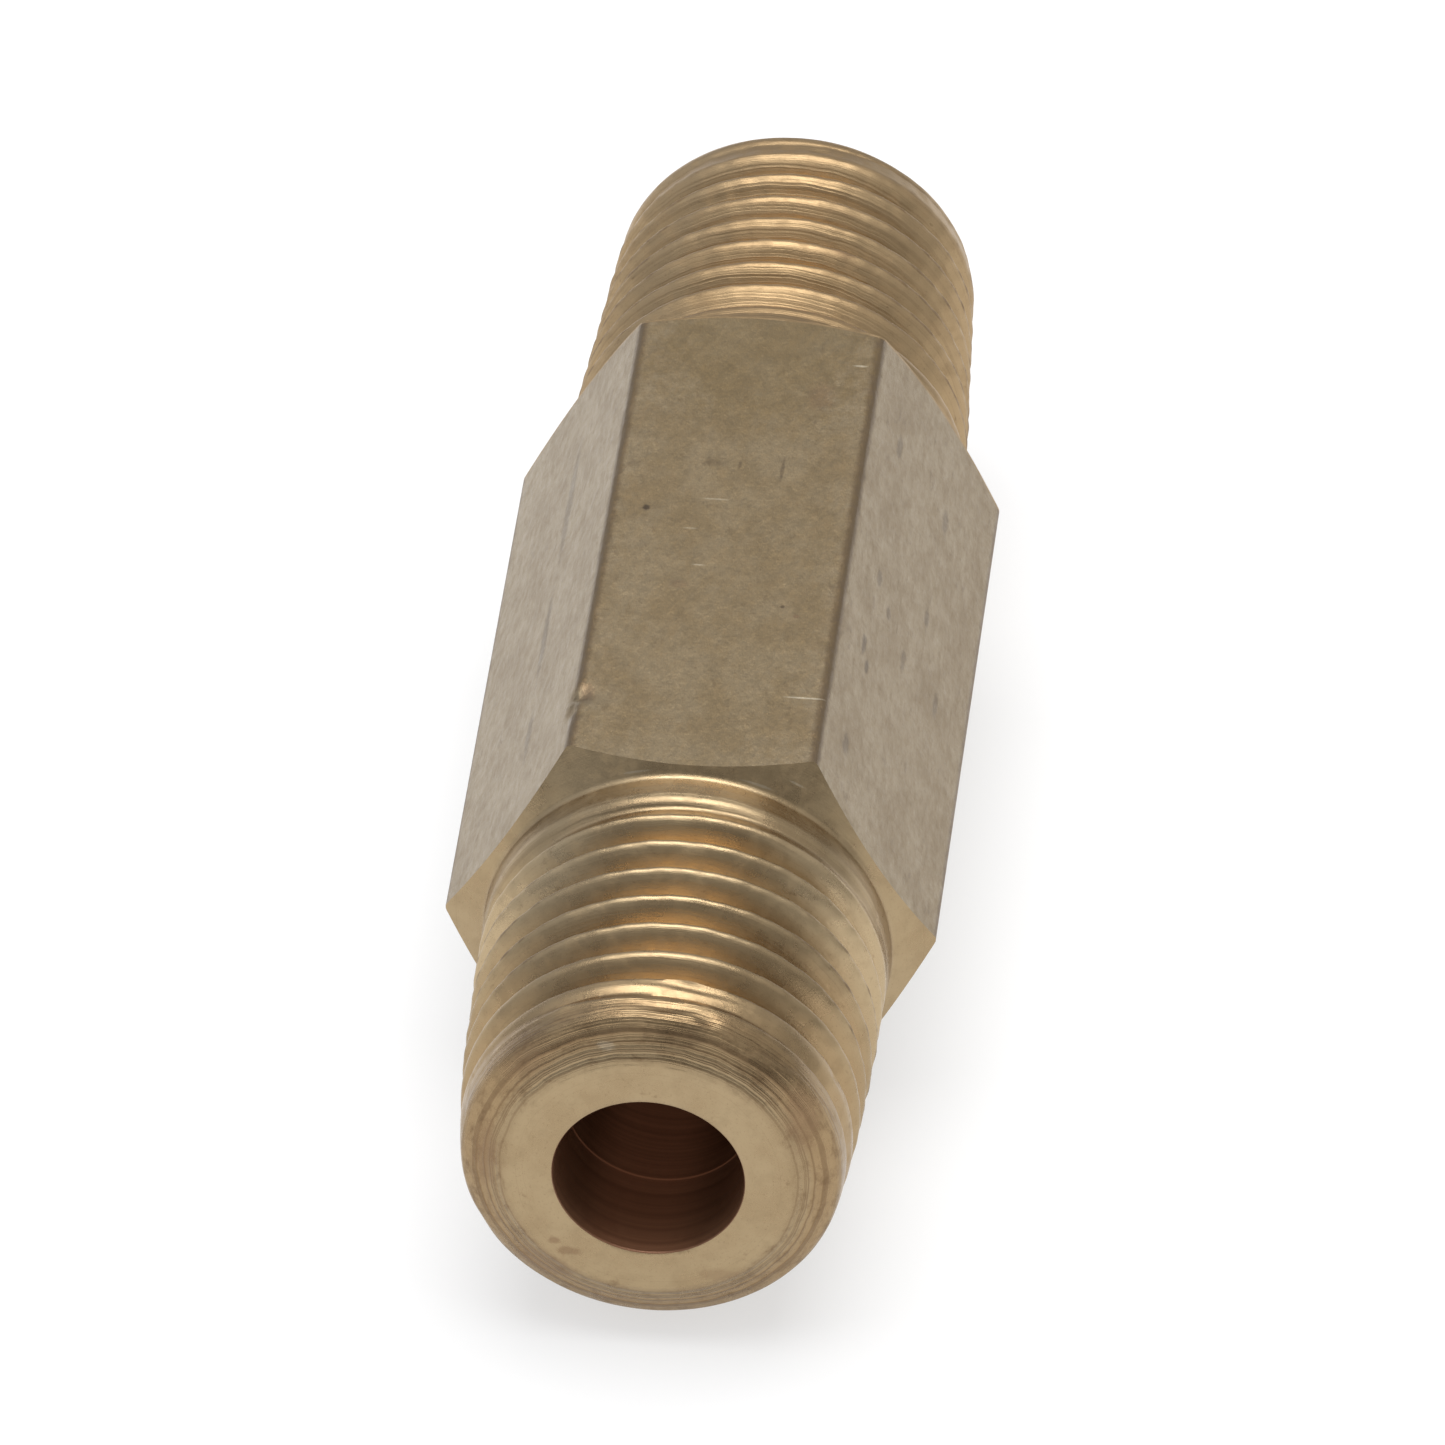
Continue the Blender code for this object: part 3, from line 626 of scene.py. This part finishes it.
def bored_brass(name):
    """Inside of the bore: a dark brown with the drill's rings, and painted light: a glow stronger low down
    and near the middle, and a glowing line at the step.
    """
    made, tree, shader, place = material(name, 0.3, 0.55)
    sideways, station, upward = node(tree, "ShaderNodeSeparateXYZ", {0: place}).outputs
    rings = noise(tree, station, 3.0, 6.0, 0.8, "1D")
    cloud = noise(tree, place, 0.8, 4.0)
    colour = mix(tree, ramp(tree, rings, 0.3, 0.7), (0.16, 0.076, 0.040), (0.22, 0.110, 0.058))
    colour = mix(tree, ramp(tree, cloud, 0.45, 0.7, 0.0, 0.5), colour, (0.12, 0.052, 0.026))
    tree.links.new(colour, shader.inputs["Base Color"])
    tree.links.new(ramp(tree, rings, 0.3, 0.7, 0.30, 0.46), shader.inputs["Roughness"])
    # Painted light: emission standing in for light that comes in at the port, stronger low down and near the
    # middle, with a thin glowing line at the step.
    aside = math_node(tree, "ABSOLUTE", math_node(tree, "ADD", sideways, 0.5))
    lit = times(tree, ramp(tree, upward, -3.05, -1.9, 0.017, 0.007), ramp(tree, aside, 0.7, 2.8, 1.5, 0.35))
    lit = times(tree, lit, ramp(tree, rings, 0.25, 0.75, 0.8, 1.2))
    step = times(tree, ramp(tree, station, *STEP_FROM), ramp(tree, station, *STEP_UNTIL))
    glow = math_node(tree, "MULTIPLY_ADD", step, 0.03, lit)
    shader.inputs["Emission Color"].default_value = (*BORE_GLOW, 1.0)
    tree.links.new(glow, shader.inputs["Emission Strength"])
    bumped(tree, shader, rings, 0.3, 0.02 * MM)
    return made


def ground_steel(name, base, dark, roughness):
    """Turned and ground steel, or phosphated wire where its colours are dark."""
    made, tree, shader, place = material(name, roughness)
    split, radius = axes(tree, place)
    across = math_node(tree, "ADD", split.outputs[1], radius)
    rings = noise(tree, across, 12.0, 5.0, 0.7, "1D")
    cloud = noise(tree, place, 1.3, 4.0)
    colour = mix(tree, ramp(tree, cloud, 0.35, 0.7), base, dark)
    colour = mix(tree, ramp(tree, rings, 0.55, 0.8, 0.0, 0.4), colour, dark)
    tree.links.new(colour, shader.inputs["Base Color"])
    tree.links.new(
        ramp(tree, rings, 0.3, 0.7, roughness * 0.8, roughness * 1.3), shader.inputs["Roughness"]
    )
    bumped(tree, shader, rings, 0.25, 0.01 * MM)
    return made


def moulded_rubber(name):
    made, tree, shader, place = material(name, 0.6, 0.0)
    grain = noise(tree, place, 9.0, 4.0)
    colour = mix(tree, ramp(tree, grain, 0.4, 0.65), (0.012, 0.012, 0.013), (0.035, 0.034, 0.033))
    tree.links.new(colour, shader.inputs["Base Color"])
    tree.links.new(ramp(tree, grain, 0.3, 0.7, 0.5, 0.7), shader.inputs["Roughness"])
    bumped(tree, shader, grain, 0.2, 0.01 * MM)
    return made


GRIME = (0.10, 0.068, 0.040)
TARNISH = (0.24, 0.15, 0.085)
SCRATCH = (0.75, 0.66, 0.50)
# Colour of the painted shade on the top flat.
TOP_SHADE = (0.22, 0.15, 0.060)
# The fourth colour of turned_brass, here and for the bush below, is the painted warm glow in the grooves.
TURNED_BRASS = turned_brass(
    "turned_brass",
    (0.370, 0.270, 0.155),
    (0.42, 0.315, 0.185),
    (0.18, 0.112, 0.058),
    (0.40, 0.260, 0.130),
    spots=(
        ((0.9, -24.95, 5.7), (1.2, 0.40, 0.5), 0.38, GRIME),
        ((3.9, -24.9, 4.5), (1.2, 0.6, 1.1), 0.26, GRIME),
        ((5.0, -24.9, 2.6), (0.7, 0.6, 1.6), 0.50, TARNISH),
        ((-1.45, -25.15, 5.2), (0.40, 0.2, 0.2), 0.25, SCRATCH),
        ((-4.3, -24.7, 4.4), (1.3, 0.8, 1.3), 0.35, TARNISH),
        ((-3.4, -25.1, -4.0), (1.4, 0.4, 0.9), 0.45, TARNISH),
        ((-2.6, -25.4, -3.3), (0.5, 0.2, 0.2), 0.60, TARNISH),
        ((-3.1, -25.4, -2.9), (0.25, 0.2, 0.2), 0.60, TARNISH),
        ((2.4, -25.4, -3.9), (0.9, 0.2, 0.3), 0.35, TARNISH),
        ((-5.3, -24.9, 0.3), (0.5, 0.5, 1.6), 0.55, TARNISH),
        ((2.2, 17.8, 6.2), (0.5, 0.3, 0.5), 0.5, TARNISH),
        ((-1.8, -12.60, 6.8), (0.55, 0.025, 0.3), 0.30, SCRATCH),
        ((-0.6, -12.78, 6.7), (0.45, 0.025, 0.3), 0.25, SCRATCH),
        ((2.3, -12.62, 6.6), (0.70, 0.025, 0.4), 0.35, SCRATCH),
        ((3.6, -12.35, 6.5), (0.35, 0.025, 0.4), 0.35, SCRATCH),
    ),
)
DRAWN_BRASS = drawn_brass(
    "drawn_brass",
    spots=(
        # The first two patches are painted shade: the top flat darker and yellower, more so towards the
        # rear.
        ((0.0, 1.0, 7.3), (6.0, 30.0, 0.6), 0.32, TOP_SHADE),
        ((0.3, 11.0, 7.2), (4.5, 5.5, 0.4), 0.34, TOP_SHADE),
        ((-2.9, 1.37, 7.14), (0.15, 0.20, 0.2), 0.95, GRIME),
        ((2.35, 8.2, 7.14), (0.55, 0.95, 0.3), 0.35, TARNISH),
        ((-0.9, 4.1, 7.14), (0.45, 0.22, 0.3), 0.35, GRIME),
        ((3.40, -8.50, 7.14), (0.75, 0.05, 0.2), 0.60, SCRATCH),
        ((1.45, 4.0, 7.14), (0.08, 0.70, 0.2), 0.50, GRIME),
        ((0.0, 4.1, 7.14), (0.07, 0.30, 0.2), 0.50, GRIME),
        ((-0.6, 2.1, 7.14), (0.45, 0.05, 0.2), 0.30, SCRATCH),
        ((-0.8, -1.6, 7.14), (0.25, 0.05, 0.2), 0.35, SCRATCH),
        ((-1.3, 0.4, 7.14), (0.30, 0.05, 0.2), 0.25, SCRATCH),
        ((2.2, -3.6, 7.14), (0.10, 0.10, 0.2), 0.75, GRIME),
        ((2.7, -4.1, 7.14), (0.14, 0.12, 0.2), 0.60, TARNISH),
        ((-1.4, -2.7, 7.14), (0.40, 0.30, 0.2), 0.30, TARNISH),
        ((3.5, 10.1, 7.14), (0.28, 0.06, 0.2), 0.50, SCRATCH),
        ((-3.8, -8.9, 7.10), (0.35, 0.55, 0.3), 0.45, TARNISH),
        ((5.1, 7.9, 5.5), (0.14, 0.70, 0.3), 0.45, GRIME),
        ((6.7, 7.5, 2.7), (0.12, 0.80, 0.4), 0.40, GRIME),
        ((5.1, 0.5, 5.5), (0.10, 0.55, 0.3), 0.45, GRIME),
        ((5.5, -0.5, 4.8), (0.09, 0.50, 0.3), 0.45, GRIME),
        ((6.6, 1.9, 2.9), (0.10, 0.60, 0.3), 0.45, GRIME),
        ((4.95, -3.5, 5.75), (0.10, 0.60, 0.25), 0.60, GRIME),
        ((5.1, -4.4, 5.4), (0.09, 0.50, 0.25), 0.60, GRIME),
        ((6.1, -1.6, 3.7), (0.10, 0.70, 0.3), 0.35, GRIME),
        ((4.9, -9.2, 5.9), (0.16, 0.60, 0.3), 0.50, GRIME),
        ((7.2, -1.6, 1.8), (0.10, 0.75, 0.3), 0.40, GRIME),
        ((-5.9, 5.5, 4.0), (0.20, 3.60, 0.30), 0.40, GRIME),
        ((-5.95, -2.0, 3.95), (0.18, 2.60, 0.26), 0.45, GRIME),
        ((-5.9, -7.6, 4.1), (0.18, 1.60, 0.26), 0.40, GRIME),
    ),
)
BORED_BRASS = bored_brass("bored_brass")
BUSH_BRASS = turned_brass(
    "bush_brass",
    (0.58, 0.44, 0.24),
    (0.66, 0.52, 0.30),
    (0.36, 0.24, 0.12),
    (0.52, 0.36, 0.18),
    marks=0.6,
)
STAINLESS = ground_steel("stainless", (0.58, 0.57, 0.55), (0.42, 0.41, 0.40), 0.26)
SPRING_STEEL = ground_steel("spring_steel", (0.33, 0.33, 0.34), (0.20, 0.20, 0.21), 0.36)
RUBBER = moulded_rubber("nitrile")


# --------------------------------------------------------------------------------------------- pieces


def as_object(name, mesh, materials):
    obj = bpy.data.objects.new(name, mesh)
    bpy.context.scene.collection.objects.link(obj)
    for one in materials:
        mesh.materials.append(one)
    mesh.shade_smooth()
    mesh.set_sharp_from_angle(angle=SHARP_ANGLE)
    return obj


def repaint(name, look):
    """A CAD piece keeps its shape and gets a finished material."""
    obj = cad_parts[name]
    obj.data.materials.clear()
    obj.data.materials.append(look)


body = as_object("hex_body", body_mesh(), [DRAWN_BRASS, TURNED_BRASS, BORED_BRASS])
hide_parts("valve_body")
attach(body, "root")

repaint("seat_insert", STAINLESS)
repaint("seat_o_ring", RUBBER)
repaint("needle_guide", BUSH_BRASS)
repaint("metering_needle", STAINLESS)
repaint("adjusting_screw", BUSH_BRASS)
repaint("swivel_pin_left", SPRING_STEEL)
repaint("swivel_pin_right", SPRING_STEEL)
repaint("thrust_washer", STAINLESS)
repaint("retaining_ring", SPRING_STEEL)


def spring_mesh(front, rear, radius, wire, turns, closed, closed_pitch):
    """Round wire coiled about the flow axis, with closed ends."""
    per_turn, sides = 48, 14
    count = int(turns * per_turn) + 1
    open_length = rear - front - 2 * closed * closed_pitch
    points, faces = [], []
    for i in range(count):
        turn = i / per_turn
        if turn < closed:
            station = front + turn * closed_pitch
        elif turn > turns - closed:
            station = rear - (turns - turn) * closed_pitch
        else:
            station = front + closed * closed_pitch + open_length * (turn - closed) / (turns - 2 * closed)
        angle = turn * TAU
        out = Vector((math.cos(angle), 0.0, -math.sin(angle)))
        centre = out * radius + Vector((0.0, station, 0.0))
        for k in range(sides):
            round_wire = TAU * k / sides
            offset = out * math.cos(round_wire) + Vector((0.0, 1.0, 0.0)) * math.sin(round_wire)
            points.append(centre + offset * wire)
    for i in range(count - 1):
        for k in range(sides):
            n = (k + 1) % sides
            faces.append((i * sides + k, i * sides + n, (i + 1) * sides + n, (i + 1) * sides + k))
    faces.append(tuple(reversed(range(sides))))
    faces.append(tuple((count - 1) * sides + k for k in range(sides)))
    mesh = bpy.data.meshes.new("coil_spring")
    mesh.from_pydata([tuple(p) for p in points], [], faces)
    mesh.update()
    return mesh


WIRE = 0.27 * MM
COIL_RADIUS = 2.52 * MM
COIL_TURNS, CLOSED_TURNS, CLOSED_PITCH = 6.5, 0.8, 0.60 * MM
spring_low, spring_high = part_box("load_spring")
spring = as_object(
    "coil_spring",
    spring_mesh(
        spring_low.y + WIRE,
        spring_high.y - WIRE,
        COIL_RADIUS,
        WIRE,
        COIL_TURNS,
        CLOSED_TURNS,
        CLOSED_PITCH,
    ),
    [SPRING_STEEL],
)
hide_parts("load_spring")
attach(spring, "root")
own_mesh(spring)

# ---------------------------------------------------------------------------------- floor, light, view

REACH = 6.0
FLOOR_Z = BODY_LOW.z - 0.02 * MM
PAPER_GREY = 0.40
PAPER_GLOW = 0.60
floor_mesh = bpy.data.meshes.new("floor")
floor_mesh.from_pydata(
    [(x * REACH, y * REACH, FLOOR_Z) for x, y in ((-1, -1), (1, -1), (1, 1), (-1, 1))],
    [],
    [(0, 1, 2, 3)],
)
floor = bpy.data.objects.new("floor", floor_mesh)
bpy.context.scene.collection.objects.link(floor)
floor_look = bpy.data.materials.new("floor_paper")
floor_look.use_nodes = True
paper = floor_look.node_tree.nodes["Principled BSDF"]
paper.inputs["Base Color"].default_value = (PAPER_GREY, PAPER_GREY, PAPER_GREY, 1.0)
paper.inputs["Emission Color"].default_value = (1.0, 1.0, 1.0, 1.0)
paper.inputs["Emission Strength"].default_value = PAPER_GLOW
paper.inputs["Roughness"].default_value = 0.9
paper.inputs["Specular IOR Level"].default_value = 0.0
floor_mesh.materials.append(floor_look)

world = bpy.data.worlds.new("studio")
bpy.context.scene.world = world
world.use_nodes = True
sky = world.node_tree
background = sky.nodes["Background"]
toward = node(sky, "ShaderNodeSeparateXYZ", {0: node(sky, "ShaderNodeTexCoord").outputs["Generated"]})
sky_x, sky_y, sky_z = toward.outputs
height = ramp(sky, sky_z, 0.05, 0.60, 0.42, 0.62)
front = ramp(sky, sky_y, -0.95, -0.2, 0.55, 1.0)
beyond_floor = ramp(sky, sky_z, -0.010, -0.004, 0.86, 0.0)
strength = math_node(sky, "MAXIMUM", times(sky, height, front), beyond_floor)
sky.links.new(strength, background.inputs["Strength"])
cool = mix(sky, ramp(sky, sky_x, -0.9, 0.1), (1.10, 1.16, 1.28), (1.0, 1.0, 1.0))
sky.links.new(cool, background.inputs["Color"])


def softbox(name, place, size, power):
    """A soft rectangular light that faces the middle of the body."""
    light = bpy.data.lights.new(name, "AREA")
    light.shape = "RECTANGLE"
    light.size, light.size_y = size
    light.energy = power
    obj = bpy.data.objects.new(name, light)
    bpy.context.scene.collection.objects.link(obj)
    obj.location = place
    obj.rotation_euler = (-Vector(place)).to_track_quat("-Z", "Y").to_euler()


softbox("overhead", (0.0, 0.05, 1.3), (1.1, 1.0), 14.0)

AZIMUTH, ELEVATION, ROLL = math.radians(5.54), math.radians(37.70), math.radians(0.414)
AIM = Vector((-0.043, -0.909, 0.0)) * MM
DISTANCE = 604.72 * MM
LENS, SENSOR_WIDTH = 446.2, 36.0
camera_data = bpy.data.cameras.new("camera")
camera_data.lens = LENS
camera_data.sensor_width = SENSOR_WIDTH
camera_data.clip_start = 0.01
camera = bpy.data.objects.new("camera", camera_data)
bpy.context.scene.collection.objects.link(camera)
toward_camera = Vector(
    (
        math.sin(AZIMUTH) * math.cos(ELEVATION),
        -math.cos(AZIMUTH) * math.cos(ELEVATION),
        math.sin(ELEVATION),
    )
)
facing = (-toward_camera).to_track_quat("-Z", "Y").to_matrix().to_4x4()
camera.matrix_world = (
    Matrix.Translation(AIM + toward_camera * DISTANCE) @ facing @ Matrix.Rotation(ROLL, 4, "Z")
)
bpy.context.scene.camera = camera
bpy.context.scene.view_settings.view_transform = "Standard"
